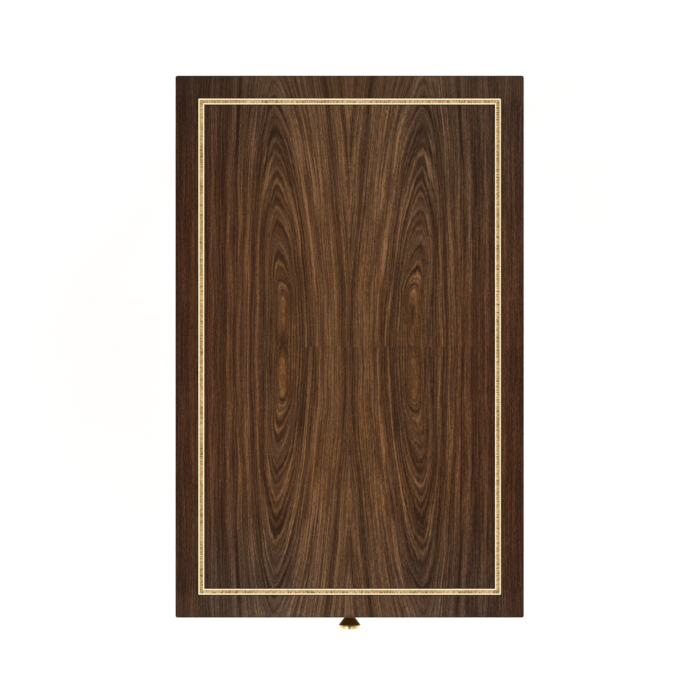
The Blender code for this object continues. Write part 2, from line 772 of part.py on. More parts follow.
def dovetail_cutters(name, out, y_root, y_end):
    """Wedges for one corner: those that leave the tails on a side, and the sockets that take them."""
    pitch = (SIDE_TOP_Z - SIDE_BOTTOM_Z) / TAIL_COUNT
    length = abs(y_end - y_root)
    root_half, end_half = pitch * TAIL_ROOT_SHARE / 2, pitch * TAIL_END_SHARE / 2
    toward_end = 1 if y_end > y_root else -1

    def tail_half(y):
        return root_half + (end_half - root_half) * (y - y_root) * toward_end / length

    def space_half(y):
        return pitch / 2 - tail_half(y)

    def socket_half(y):
        return tail_half(y) + SEAT_GAP

    past_end = y_end + toward_end * OVERRUN
    before_root = y_root - toward_end * OVERRUN
    faces = spanning(out * (SIDE_INNER_X - OVERRUN), out * (DRAWER_HALF_WIDTH + OVERRUN))
    socket_faces = spanning(out * (SIDE_INNER_X - SEAT_GAP), out * (DRAWER_HALF_WIDTH + OVERRUN))
    spaces = [
        cutter(
            f"{name}_space_{k}",
            y_taper(*faces, SIDE_BOTTOM_Z + k * pitch, space_half, y_root, past_end),
        )
        for k in range(TAIL_COUNT + 1)
    ]
    sockets = [
        cutter(
            f"{name}_socket_{k}",
            y_taper(
                *socket_faces,
                SIDE_BOTTOM_Z + (k + 0.5) * pitch,
                socket_half,
                before_root,
                y_end + toward_end * SEAT_GAP,
            ),
        )
        for k in range(TAIL_COUNT)
    ]
    return spaces, sockets


def make_drawer(axis):
    """The drawer box: dovetailed, half blind at the front, with its bottom in a groove."""
    front = box(
        "drawer_front",
        (-DRAWER_HALF_WIDTH, FACE_Y, FRONT_BOTTOM_Z),
        (DRAWER_HALF_WIDTH, FRONT_BACK_Y, FRONT_TOP_Z),
        ROSEWOOD,
        axis,
        DRAWER_FRONT_ARRIS,
    )
    back_start_y = DRAWER_BACK_Y - DRAWER_BOARD_THICKNESS
    back = box(
        "drawer_back",
        (-DRAWER_HALF_WIDTH, back_start_y, PANEL_TOP_Z + SEAT_GAP),
        (DRAWER_HALF_WIDTH, DRAWER_BACK_Y, SIDE_TOP_Z),
        MAPLE,
        axis,
    )
    panel_half = SIDE_INNER_X + DRAWER_GROOVE_DEPTH
    panel_front_y = FRONT_BACK_Y - DRAWER_GROOVE_DEPTH
    box(
        "drawer_bottom",
        (-panel_half, panel_front_y, PANEL_UNDER_Z),
        (panel_half, DRAWER_BACK_Y, PANEL_TOP_Z),
        MAPLE,
        axis,
    )
    groove = box_cutter(
        "bottom_groove",
        (-panel_half - SEAT_GAP, panel_front_y - SEAT_GAP, PANEL_UNDER_Z - SEAT_GAP),
        (panel_half + SEAT_GAP, DRAWER_BACK_Y + OVERRUN, PANEL_TOP_Z + SEAT_GAP),
    )
    cut(front, groove)
    tail_tip_y = FACE_Y + TAIL_LAP
    for side, out in SIDES:
        low_x, high_x = spanning(out * SIDE_INNER_X, out * DRAWER_HALF_WIDTH)
        board = box(
            f"drawer_side_{side}",
            (low_x, tail_tip_y, SIDE_BOTTOM_Z),
            (high_x, DRAWER_BACK_Y, SIDE_TOP_Z),
            MAPLE,
            axis,
        )
        front_root_y = FRONT_BACK_Y + SEAT_GAP
        back_root_y = back_start_y - SEAT_GAP
        front_spaces, front_sockets = dovetail_cutters(f"front_{side}", out, front_root_y, tail_tip_y)
        back_spaces, back_sockets = dovetail_cutters(f"back_{side}", out, back_root_y, DRAWER_BACK_Y)
        cut(board, *front_spaces, *back_spaces, groove)
        cut(front, *front_sockets)
        cut(back, *back_sockets)
    return front, back


def make_drawer_string(front, axis):
    """A light string let into the drawer's face, in one ring."""
    half = DRAWER_HALF_WIDTH - DRAWER_STRING_INSET
    low = (-half, FACE_Y, FRONT_BOTTOM_Z + DRAWER_STRING_INSET)
    high = (half, FACE_Y + DRAWER_STRING_DEPTH, FRONT_TOP_Z - DRAWER_STRING_INSET)
    string = box("drawer_string", low, high, HOLLY, axis)
    step = DRAWER_STRING_WIDTH
    hollow_low = (low[0] + step, low[1] - OVERRUN, low[2] + step)
    hollow_high = (high[0] - step, high[1] + OVERRUN, high[2] - step)
    cut(string, box_cutter("drawer_string_hollow", hollow_low, hollow_high))
    groove_low = (low[0] - JOINT_LINE, low[1] - OVERRUN, low[2] - JOINT_LINE)
    groove_high = (high[0] + JOINT_LINE, high[1] + JOINT_LINE, high[2] + JOINT_LINE)
    cut(front, ring_cutter("drawer_string_groove", groove_low, groove_high, step + 2 * JOINT_LINE, ALONG))


def make_knob(front, axis):
    """A flared brass knob, and the slotted screw that holds it from inside the drawer."""
    bore = KNOB_SCREW_RADIUS + SEAT_GAP
    bore_end = KNOB_SCREW_BITE + SEAT_GAP
    face = [
        (KNOB_FACE_RADIUS * share, KNOB_LENGTH - KNOB_FACE_DOME * share**2)
        for share in (0.0, 0.3, 0.55, 0.8, 1.0)
    ]
    rim = [
        (KNOB_SHOULDER_RADIUS, KNOB_SHOULDER_AT),
        (KNOB_RADIUS, KNOB_RIM_AT + KNOB_RIM_WIDTH / 2),
        (KNOB_RADIUS, KNOB_RIM_AT - KNOB_RIM_WIDTH / 2),
    ]
    stem = [
        (KNOB_FLARE_RADIUS, KNOB_FLARE_AT),
        (KNOB_WAIST_RADIUS, KNOB_WAIST_AT),
        (KNOB_NECK_RADIUS, KNOB_NECK_END),
        (KNOB_NECK_RADIUS, KNOB_BASE_HEIGHT * 2),
        (KNOB_BASE_RADIUS - KNOB_BASE_HEIGHT / 2, KNOB_BASE_HEIGHT),
        (KNOB_BASE_RADIUS, KNOB_BASE_HEIGHT / 2),
        (KNOB_BASE_RADIUS, 0.0),
        (bore, 0.0),
        (bore, bore_end),
        (0.0, bore_end),
    ]
    mesh = turned_mesh("knob", face + rim + stem, KNOB_STEPS)
    knob = placed(mesh, "knob", Vector((0.0, FACE_Y - SEAT_GAP, KNOB_Z)))
    knob.rotation_euler = FORWARD
    finish_object(knob, BRASS, axis)
    seat_y = FRONT_BACK_Y + SEAT_GAP
    length = seat_y - FACE_Y + SEAT_GAP + KNOB_SCREW_BITE
    centre = Vector((0.0, seat_y, KNOB_Z))
    shape = (KNOB_SCREW_RADIUS, KNOB_SCREW_HEAD_RADIUS, KNOB_SCREW_HEAD_HEIGHT)
    slotted_screw("knob_screw", centre, FORWARD, axis, length, *shape)
    cut(front, bore_cutter("knob_screw_hole", plain_bore(bore, -OVERRUN, length), centre, FORWARD))


def make_turn_button(back, drawer_axis):
    """A turned catch on the drawer's back, which meets the top rail when the drawer is full out."""
    pivot = Vector((0.0, BUTTON_FRONT_Y, BUTTON_PIVOT_Z))
    axis = axis_empty("turn_button_axis", pivot)
    button = box(
        "turn_button",
        (-BUTTON_WIDTH / 2, BUTTON_FRONT_Y, BUTTON_TOP_Z - BUTTON_LENGTH),
        (BUTTON_WIDTH / 2, BUTTON_FRONT_Y + BUTTON_THICKNESS, BUTTON_TOP_Z),
        BEECH,
        axis,
        BUTTON_ARRIS,
    )
    seat_y = BUTTON_FRONT_Y + BUTTON_THICKNESS + BUTTON_RUNNING_GAP
    centre = Vector((0.0, seat_y, BUTTON_PIVOT_Z))
    length = seat_y - DRAWER_BACK_Y + BUTTON_SCREW_BITE
    shape = (BUTTON_SCREW_RADIUS, BUTTON_SCREW_HEAD_RADIUS, BUTTON_SCREW_HEAD_HEIGHT)
    slotted_screw("turn_button_screw", centre, FORWARD, drawer_axis, length, *shape)
    profile = plain_bore(BUTTON_SCREW_RADIUS + SEAT_GAP, -OVERRUN, length + SEAT_GAP)
    hole = bore_cutter("turn_button_hole", profile, centre, FORWARD)
    cut(button, hole)
    cut(back, hole)


def make_table():
    outline = make_top_outline()
    core = make_core()
    make_lippings(outline)
    make_veneers(outline)
    make_banding()
    legs = {}
    for end, away in ENDS:
        for side, out in SIDES:
            legs[end, side] = make_leg(end, away, side, out)
            make_sabot(end, away, side, out)
    for side, out in SIDES:
        make_side_apron(side, out, legs)
        make_runner(side, out)
        make_kicker(side, out, core)
    make_back_apron(legs)
    make_top_rail(legs)
    make_bottom_rail(legs)
    make_stops()
    drawer_axis = axis_empty("drawer_slide_axis", Vector((0.0, FACE_Y, OPENING_BOTTOM_Z)))
    front, back = make_drawer(drawer_axis)
    make_drawer_string(front, drawer_axis)
    make_knob(front, drawer_axis)
    make_turn_button(back, drawer_axis)


clear_scene()
TABLE = new_collection("side_table")
CUTTERS = new_collection("cutters")
VENEER = material("rosewood_veneer", (0.105, 0.058, 0.036), 0.3)
ROSEWOOD = material("rosewood", (0.080, 0.042, 0.026), 0.35)
HOLLY = material("holly", (0.90, 0.79, 0.58), 0.35)
SATINWOOD = material("satinwood", (0.47, 0.30, 0.13), 0.35)
MAPLE = material("maple", (0.62, 0.45, 0.28), 0.5)
BEECH = material("beech", (0.50, 0.34, 0.20), 0.55)
BOARD = material("core_board", (0.36, 0.25, 0.16), 0.7)
BRASS = material("brass", (0.80, 0.56, 0.22), 0.18, 1.0)
STEEL = material("steel", (0.55, 0.54, 0.52), 0.35, 1.0)
make_table()
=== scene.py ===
"""Looks of the side table: its finishes, finer turned pieces, the studio and the camera.

Metres, in the frame's own axes. Sizes inside the materials are millimetres.
"""
import math

import bmesh
import bpy
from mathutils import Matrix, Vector


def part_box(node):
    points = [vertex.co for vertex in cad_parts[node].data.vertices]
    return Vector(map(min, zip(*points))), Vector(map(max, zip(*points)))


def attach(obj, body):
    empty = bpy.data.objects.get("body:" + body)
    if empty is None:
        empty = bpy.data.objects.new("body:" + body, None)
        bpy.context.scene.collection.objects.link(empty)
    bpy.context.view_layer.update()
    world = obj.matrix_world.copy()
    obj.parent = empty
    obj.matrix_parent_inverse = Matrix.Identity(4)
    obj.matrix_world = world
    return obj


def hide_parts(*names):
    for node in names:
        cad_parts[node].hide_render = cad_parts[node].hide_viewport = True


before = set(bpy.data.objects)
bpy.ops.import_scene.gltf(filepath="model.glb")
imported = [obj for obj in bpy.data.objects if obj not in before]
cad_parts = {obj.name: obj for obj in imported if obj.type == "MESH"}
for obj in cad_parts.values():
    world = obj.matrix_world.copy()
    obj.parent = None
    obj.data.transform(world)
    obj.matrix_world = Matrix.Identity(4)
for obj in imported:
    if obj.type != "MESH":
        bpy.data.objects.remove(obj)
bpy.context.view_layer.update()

MM = 0.001
SIDES = {"left": -1, "right": 1}
ENDS = {"front": -1, "back": 1}
# The axes along the width, the depth and the height
ALONG, DEEP, UP = 0, 1, 2

# The top, read from the frame
LEAF_LOW, LEAF_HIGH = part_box("border_veneer_front_left")
TOP_CENTRE_Y = (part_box("apron_back")[1].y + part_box("front_top_rail")[0].y) / 2
TOP_Z = LEAF_HIGH.z
LEAF_HALF_WIDTH = -LEAF_LOW.x
LEAF_HALF_LENGTH = TOP_CENTRE_Y - LEAF_LOW.y
BANDING_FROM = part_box("outer_string_left")[0].x - LEAF_LOW.x
BANDING_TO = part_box("inner_string_left")[1].x - LEAF_LOW.x

# Height of the line round which a level piece's growth rings stand
HEART_Z = 0.30

# Camera: straight over the table, a little towards the knob, at the photograph's scale
CAMERA_PLACE = Vector((0.00045, TOP_CENTRE_Y - 0.0044, TOP_Z + 2.85))
CAMERA_LENS = 111.73
CAMERA_SENSOR = 36.0

# Studio
FLOOR_HALF = 20.0
FLOOR_DROP = 0.0001
FLOOR_ALBEDO = 0.80
FLOOR_ROUGHNESS = 0.9
FLOOR_GLOW = 0.42
FAR_GLOW = 0.85
GLOW_FROM = 0.9
GLOW_TO = 4.5
HORIZON_LIGHT = 1.0
HORIZON_BAND = 0.10
ZENITH_LIGHT = 0.04
LAMP_SIZE = 2.2
LAMP_DISTANCE = 3.4
# Each lamp's direction from the front towards the right and its height over the floor, in degrees, and power
LAMPS = (("key_lamp", -52.0, 45.0, 52.0), ("fill_lamp", 128.0, 45.0, 46.0), ("front_lamp", 38.0, 50.0, 19.0))


def linear(red, green, blue):
    """A colour given as it looks on a screen, 0 to 255 a channel, as the shader wants it."""
    parts = []
    for part in (red, green, blue):
        share = part / 255
        parts.append(share / 12.92 if share <= 0.04045 else ((share + 0.055) / 1.055) ** 2.4)
    return (*parts, 1.0)


class Graph:
    """One material's shader nodes, added by short calls. An input is a socket or a plain value."""

    def __init__(self, name, metallic=0.0, specular=0.5):
        self.material = bpy.data.materials.new(name)
        self.material.use_nodes = True
        tree = self.material.node_tree
        self.nodes, self.links = tree.nodes, tree.links
        self.shader = self.nodes["Principled BSDF"]
        self.shader.inputs["Metallic"].default_value = metallic
        self.shader.inputs["Specular IOR Level"].default_value = specular

    def put(self, socket, value):
        if isinstance(value, bpy.types.NodeSocket):
            self.links.new(value, socket)
        else:
            socket.default_value = value

    def math(self, operation, *values):
        node = self.nodes.new("ShaderNodeMath")
        node.operation = operation
        for socket, value in zip(node.inputs, values):
            self.put(socket, value)
        return node.outputs[0]

    def add(self, *values):
        total = values[0]
        for value in values[1:]:
            total = self.math("ADD", total, value)
        return total

    def times(self, *values):
        product = values[0]
        for value in values[1:]:
            product = self.math("MULTIPLY", product, value)
        return product

    def less(self, value, other):
        return self.math("SUBTRACT", value, other)

    def over(self, value, other):
        return self.math("DIVIDE", value, other)

    def millimetres(self):
        """The point's own X, Y and Z in millimetres."""
        place = self.nodes.new("ShaderNodeTexCoord")
        scaled = self.nodes.new("ShaderNodeVectorMath")
        scaled.operation = "SCALE"
        scaled.inputs["Scale"].default_value = 1 / MM
        self.links.new(place.outputs["Object"], scaled.inputs[0])
        parts = self.nodes.new("ShaderNodeSeparateXYZ")
        self.links.new(scaled.outputs[0], parts.inputs[0])
        return tuple(parts.outputs)

    def vector(self, x, y, z):
        node = self.nodes.new("ShaderNodeCombineXYZ")
        for socket, value in zip(node.inputs, (x, y, z)):
            self.put(socket, value)
        return node.outputs[0]

    def noise(self, place, cell, detail=2.0, roughness=0.5):
        """Smooth noise about 0, mostly within half a unit either way. The cell gives its size along each
        number of the place, and a number past the cell's last size picks one of many patterns."""
        scaled = [self.over(value, size) for value, size in zip(place, cell)]
        node = self.nodes.new("ShaderNodeTexNoise")
        node.inputs["Scale"].default_value = 1.0
        node.inputs["Detail"].default_value = detail
        node.inputs["Roughness"].default_value = roughness
        self.links.new(self.vector(*scaled, *place[len(cell):]), node.inputs["Vector"])
        return self.less(node.outputs[0], 0.5)

    def stretch(self, value, low, high, to_low=0.0, to_high=1.0, smooth=True):
        """The value carried from one range to another and held at its ends."""
        node = self.nodes.new("ShaderNodeMapRange")
        node.interpolation_type = "SMOOTHSTEP" if smooth else "LINEAR"
        for name, part in (
            ("Value", value),
            ("From Min", low),
            ("From Max", high),
            ("To Min", to_low),
            ("To Max", to_high),
        ):
            self.put(node.inputs[name], part)
        return node.outputs[0]

    def ramp(self, value, stops, smooth=False):
        """Colours by position, from 0 to 1."""
        node = self.nodes.new("ShaderNodeValToRGB")
        node.color_ramp.interpolation = "EASE" if smooth else "LINEAR"
        elements = node.color_ramp.elements
        while len(elements) > 1:
            elements.remove(elements[0])
        for index, (place, colour) in enumerate(stops):
            stop = elements[0] if index == 0 else elements.new(place)
            stop.position = place
            stop.color = colour
        self.put(node.inputs[0], value)
        return node.outputs[0]

    def tones(self, value, colours):
        """Evenly spaced colours, each given as it looks on a screen."""
        last = len(colours) - 1
        return self.ramp(value, [(index / last, linear(*colour)) for index, colour in enumerate(colours)])

    def curve(self, value, reach, stops):
        """A number read from stops of (place, number), with places from 0 to reach."""
        grey = [(place / reach, (number, number, number, 1.0)) for place, number in stops]
        return self.ramp(self.over(value, reach), grey, smooth=True)

    def mix(self, share, first, second, blend="MIX"):
        node = self.nodes.new("ShaderNodeMix")
        node.data_type = "RGBA"
        node.blend_type = blend
        self.put(node.inputs[0], share)
        self.put(node.inputs[6], first)
        self.put(node.inputs[7], second)
        return node.outputs[2]

    def between(self, share, first, second):
        """A number between first and second."""
        node = self.nodes.new("ShaderNodeMix")
        self.put(node.inputs[0], share)
        self.put(node.inputs[2], first)
        self.put(node.inputs[3], second)
        return node.outputs[0]

    def bump(self, height, depth):
        """Relief of that depth, in millimetres, where height goes from 0 to 1."""
        node = self.nodes.new("ShaderNodeBump")
        node.inputs["Strength"].default_value = 1.0
        node.inputs["Distance"].default_value = depth * MM
        self.links.new(height, node.inputs["Height"])
        self.links.new(node.outputs[0], self.shader.inputs["Normal"])

    def finish(self, colour, roughness):
        self.put(self.shader.inputs["Base Color"], colour)
        self.put(self.shader.inputs["Roughness"], roughness)
        return self.material


# Figured veneer

# Rosewood from its darkest line to its lightest, as it looks
ROSEWOOD = ((48, 28, 13), (68, 43, 25), (86, 58, 36), (106, 73, 46), (142, 101, 64))
# Tints that turn a colour redder, cooler, more golden or more purple without changing how light it is
RED_TINT = (1.04, 0.86, 0.88, 1.0)
COOL_TINT = (0.80, 1.0, 1.34, 1.0)
GOLD_TINT = (1.12, 0.985, 0.66, 1.0)
PURPLE_TINT = (1.0, 0.92, 1.16, 1.0)

# The rings that stand out, each with how far out it lies in millimetres and its lightness. What lies
# between them is left to the noise. First the arcs on the axis, past the eye
AXIS_RINGS = (
    (18, 0.30), (20, 0.80), (26, 0.15), (29, 0.80), (33, 0.25), (36, 0.10), (40, 0.80), (41, 0.15),
    (43, 1.05), (46, 0.15), (50, 0.40),
)
# Then the long flanks on the side that faces the seam
SEAM_RINGS = (
    (0, 0.80), (7, 0.20), (18, 0.45), (24, 0.30), (40, 0.20), (44, 1.00), (47, 0.15), (57, 0.50), (60, 1.00),
    (63, 0.55), (82, 0.75), (86, 0.50), (90, 0.85), (97, 0.50), (102, -0.05), (110, 0.60), (115, 0.45),
    (120, 0.85), (126, 0.20), (131, 0.70),
)
# And those on the side that faces the edge
EDGE_RINGS = (
    (6, 0.75), (9, 0.30), (18, 0.50), (28, 0.30), (40, 0.25), (45, 0.90), (51, 0.15), (62, 0.75), (73, 0.35),
    (80, 0.65), (89, 0.10), (93, 0.50), (100, 0.70), (108, 0.10), (122, 0.20), (137, 0.50), (143, 0.10),
    (172, 0.20), (178, 0.45), (190, 0.10),
)
RINGS_REACH = 210

# The crown's shape. Lengths are millimetres. A pair is where a change begins and ends, and where there are
# four numbers, the last two are the values there. From LEAN_FROM on the crown's axis leans outwards by LEAN
LEAN_FROM = 70.0
LEAN = 0.027
# How far noise moves the rings across the grain, and draws them out along it past the eye and round it
SWAY = 7.0
FLAME = 12.0
EYE_FLAME = 9.0
# The arcs' centre lies this far beyond the short seam
ARC_START = 4.5
# An oval's half width for its length past the eye, how that grows with the length, and the first again
# round the eye
ARC_RISE = 0.139
ARC_RISE_GROWTH = 0.00025
EYE_RISE = 0.135
# How far past the eye, and how far to its sides, its own ovals turn into the arcs, and where along the leaf
# the eye's shift to the side ends
EYE_LENGTH = 45.0
EYE_SIDES = (8.0, 36.0)
EYE_SHIFT_ENDS = (55.0, 115.0)
# The further out on a flank, the closer together the rings lie, and the less so the longer these lengths.
# On the side that faces the edge they all lie closer, by that factor
SEAM_CROWDING = 460.0
EDGE_CROWDING = 800.0
EDGE_CLOSENESS = 1.37
# The ovals have round shoulders near the eye and more pointed ones further out
SHOULDER_RINGS = (8.0, 32.0)
ROUND_POWER = 2.3
POINTED_POWER = 1.7
# Where the back leaves' rings begin to lie closer in, and where on each flank that fades
CLOSER_RINGS = (20.0, 37.0)
CLOSER_ON_SEAM_SIDE = (40.0, 75.0, 1.0, 0.6)
CLOSER_ON_EDGE_SIDE = (4.0, 34.0, 1.0, 0.0)
# Where the axis's rings give way to the flanks', by ring, and partly by how far to the side they lie
ARCS_END = (45.0, 50.0)
ARCS_END_SIDEWAYS = (0.35, 0.95)
SIDEWAYS_SHARE = 0.75

# Cells of the veneer's noises, in millimetres. First across and along the leaf
SWAY_CELL = (34, 95)
FLAME_CELL = (2.6, 26)
DRIFT_CELL = (26, 80)
FLECK_CELL = (0.75, 7.5)
SPECK_CELL = (1.15, 2.3)
CLOUD_CELL = (22, 60)
HUE_CELL = (7, 90)
LINE_HUE_CELL = (1.4, 50)
# Then out over the rings, along and across the leaf
BROAD_CELL = (2.2, 110, 60)
LINE_CELL = (1.25, 90, 40)
# Even fine lines between the rings, by their spacing, and how far noise moves them, in radians
LINE_PITCH = 3.2
LINE_DRIFT = 7.0

# How much each layer lightens or darkens the wood, on the scale from its darkest line to its lightest. The
# rings are weaker in the arcs on the axis, and the fine lines a little too
BASE_TONE = 0.15
RING_DEPTH = 0.63
RING_DEPTH_LOST_IN_ARCS = 0.20
BROAD_DEPTH = 0.08
LINE_DEPTH = 0.24
LINE_SHARE_LOST_IN_ARCS = 0.15
EVEN_LINE_DEPTH = 0.07
FLECK_DEPTH = 0.13
FLECK_DEPTH_NEAR_SEAM = 0.14
SPECK_DEPTH = 0.48
CLOUD_DEPTH = 0.24
# Painted shade along the top's edge and dark lines along the banding, from their darkest to where they end
RIM_SHADE = (0.4, 1.9, -0.45, 0.0)
BANDING_LINE = (0.4, 1.8, -0.50, 0.0)
# The tone that the calm parts are drawn towards, and how far beside the long seam
CALM_TONE = 0.44
CALM_BY_SEAM = 0.14
# The depth of the pores in the darkest flecks, in millimetres
VENEER_PORE = 0.02

# The eye's heart, by ring, where the layers between the rings are weaker
HEART_RINGS = (3.0, 11.0, 0.3, 1.0)
# The arcs on the axis, by how far to the side a point lies and by ring
ARCS_SIDEWAYS = (2.0, 16.0, 1.0, 0.0)
ARCS_FROM = (12.0, 22.0)
# Where the flecks on the seam's side deepen, by ring
STREAKED_RINGS = (45.0, 62.0)

# Places on a leaf, in millimetres from the long seam across it or from the short seam along it
END_BORDER = (318.0, 330.0)
SIDE_BORDER = (195.0, 215.0)
MIDDLE_TO_FLANK = (70.0, 130.0)
FLANK_DARKENS = (90.0, 190.0)
FAR_PART = (60.0, 200.0)
FAR_SIDE = (110.0, 160.0)
MIDDLE_TO_CORNER = (60.0, 170.0)
BY_SHORT_SEAM = (4.0, 20.0)
BY_LONG_SEAM = (35.0, 60.0)
CALM_ENDS = (60.0, 110.0)
REDDER_OUTWARDS = (108.0, 225.0)
COOLER_OUTWARDS = (30.0, 110.0)
COOL_SIDE_BORDER = (185.0, 215.0)
COOLEST_AT = 350.0
# The shade on the axis, from the short seam to the eye, fades from so far before the eye to so far past it,
# and to the side
SHADE_BEFORE_EYE = 8.0
SHADE_PAST_EYE = 6.0
SHADE_SIDEWAYS = (3.0, 9.0, 1.0, 0.0)


def crown_rings(g, leaf, across, along):
    """How far out a point lies on the crown's nested ovals, how far to the side, and whether that is the
    seam's side. The ovals close round the eye, are round shouldered near it and more pointed further out."""
    sway = g.times(g.noise((across, along, leaf["depth"]), SWAY_CELL), SWAY)
    flame = g.noise((across, along, leaf["depth"] + 3), FLAME_CELL, roughness=0.6)
    reach = g.math("MAXIMUM", g.add(along, ARC_START, g.times(flame, FLAME)), 0.0)
    lean = g.times(g.math("MAXIMUM", g.less(along, LEAN_FROM), 0.0), LEAN)
    straight = g.less(g.add(lean, leaf["axis"]), g.add(across, sway))
    inside = g.stretch(g.math("ABSOLUTE", straight), *EYE_SIDES, 1.0, 0.0)
    inward = g.add(straight, g.times(inside, g.stretch(along, *EYE_SHIFT_ENDS, leaf["eye_shift"], 0.0)))
    seam_side = g.math("GREATER_THAN", inward, 0.0)
    seam_flank = g.times(inward, g.add(1.0, g.over(inward, SEAM_CROWDING)))
    edge_flank = g.times(inward, g.less(g.over(inward, EDGE_CROWDING), 1.0), EDGE_CLOSENESS)
    flank = g.between(seam_side, edge_flank, seam_flank)
    eye = leaf["eye"]
    far_rise = g.times(reach, ARC_RISE, g.add(1.0, g.times(reach, ARC_RISE_GROWTH)))
    near_rise = g.times(g.math("ABSOLUTE", g.add(along, -eye, g.times(flame, EYE_FLAME))), EYE_RISE)
    outside = g.math("MAXIMUM", g.stretch(along, eye, eye + EYE_LENGTH), g.less(1.0, inside))
    rise = g.between(outside, near_rise, far_rise)
    power = g.stretch(g.math("MAXIMUM", flank, rise), *SHOULDER_RINGS, ROUND_POWER, POINTED_POWER)
    total = g.add(g.math("POWER", flank, power), g.math("POWER", rise, power))
    ring = g.math("POWER", total, g.over(1.0, power))
    return ring, flank, seam_side


def crown_tone(g, leaf, along, ring, flank, seam_side):
    """The broad light and dark rings, and where they are read. The back leaves' rings lie closer in."""
    own = g.math("MAXIMUM", g.add(ring, leaf["offset"]), 0.0)
    closer = g.stretch(own, *CLOSER_RINGS, 0.0, leaf["closer"])
    closer = g.times(closer, g.stretch(along, *leaf["closer_from"]))
    seam_place = g.add(own, g.times(closer, g.stretch(flank, *CLOSER_ON_SEAM_SIDE)))
    edge_place = g.add(own, g.times(closer, g.stretch(flank, *CLOSER_ON_EDGE_SIDE)))
    place = g.between(seam_side, edge_place, seam_place)
    edge_rings = g.curve(place, RINGS_REACH, EDGE_RINGS)
    seam_rings = g.curve(place, RINGS_REACH, SEAM_RINGS)
    flanks = g.between(seam_side, edge_rings, seam_rings)
    sideways = g.stretch(g.over(flank, g.add(ring, 1.0)), *ARCS_END_SIDEWAYS)
    share = g.math("MAXIMUM", g.times(sideways, SIDEWAYS_SHARE), g.stretch(place, *ARCS_END))
    arcs = g.curve(place, RINGS_REACH, leaf["eye_rings"] + AXIS_RINGS)
    return g.between(share, arcs, flanks), place


def rim_distance(g, across, along):
    """How far in from the top's edge a point lies, in millimetres."""
    return g.math("MINIMUM", g.less(LEAF_HALF_WIDTH / MM, across), g.less(LEAF_HALF_LENGTH / MM, along))


def edge_lines(g, across, along):
    """Painted shade along the top's edge, and the thin dark lines along both sides of the banding."""
    rim = rim_distance(g, across, along)
    banding = g.math("MAXIMUM", g.less(BANDING_FROM / MM, rim), g.less(rim, BANDING_TO / MM))
    # Painted shade along the top's edge, plus the dark lines beside the banding
    return g.add(g.stretch(rim, *RIM_SHADE), g.stretch(banding, *BANDING_LINE))


def slow_light(g, leaf, across, along, sideways):
    """Slow changes in how light a leaf is, from its middle to its flanks, its far end and its borders."""
    flank = g.stretch(along, *FLANK_DARKENS, -0.01, -0.05)
    far = g.stretch(along, *FAR_PART, 0.0, leaf["far_light"])
    under_eye = g.stretch(along, *BY_SHORT_SEAM, leaf["seam_light"], leaf["under_light"])
    ends = leaf["eye"] - SHADE_BEFORE_EYE, leaf["eye"] + SHADE_PAST_EYE
    end_border = g.stretch(across, *MIDDLE_TO_CORNER, leaf["end_light"], leaf["corner_light"])
    return g.add(
        g.stretch(across, *MIDDLE_TO_FLANK, 0.02, flank),
        g.stretch(across, *SIDE_BORDER, 0.0, leaf["side_light"]),
        g.times(far, g.stretch(across, *FAR_SIDE, 1.0, -0.3)),
        g.times(g.stretch(along, *ends, under_eye, 0.0), g.stretch(sideways, *SHADE_SIDEWAYS)),
        g.times(g.stretch(along, *END_BORDER), end_border),
        leaf["light"] + BASE_TONE,
    )


def veneer_colour(g, leaf, across, along, ring, tone):
    """Rosewood's colour for its tone: cooler at the ends, redder at the sides, streaked golden and purple."""
    depth = leaf["depth"]
    end = g.times(
        g.stretch(along, leaf["cool_from"], COOLEST_AT, 0.0, leaf["cool"], smooth=False),
        g.stretch(across, *COOLER_OUTWARDS, 0.6, 1.2),
        g.stretch(across, *COOL_SIDE_BORDER, 1.0, leaf["side_cool"]),
    )
    outer = g.times(g.stretch(across, *REDDER_OUTWARDS, 0.02, 0.9, smooth=False), g.less(1.0, end))
    hue = g.add(
        g.times(g.noise((across, along, depth + 13), HUE_CELL), 2.6),
        g.times(g.noise((ring, along, depth + 17), LINE_HUE_CELL), 3.2),
        g.stretch(ring, 2.0, 9.0, 0.50, 0.12),
    )
    colour = g.tones(tone, ROSEWOOD)
    colour = g.mix(outer, colour, RED_TINT, "MULTIPLY")
    colour = g.mix(end, colour, COOL_TINT, "MULTIPLY")
    golden = g.stretch(along, *leaf["gold"], 1.0, 0.12)
    colour = g.mix(g.stretch(hue, 0.0, 1.0, 0.0, golden), colour, GOLD_TINT, "MULTIPLY")
    return g.mix(g.stretch(hue, 0.0, -1.0), colour, PURPLE_TINT, "MULTIPLY")


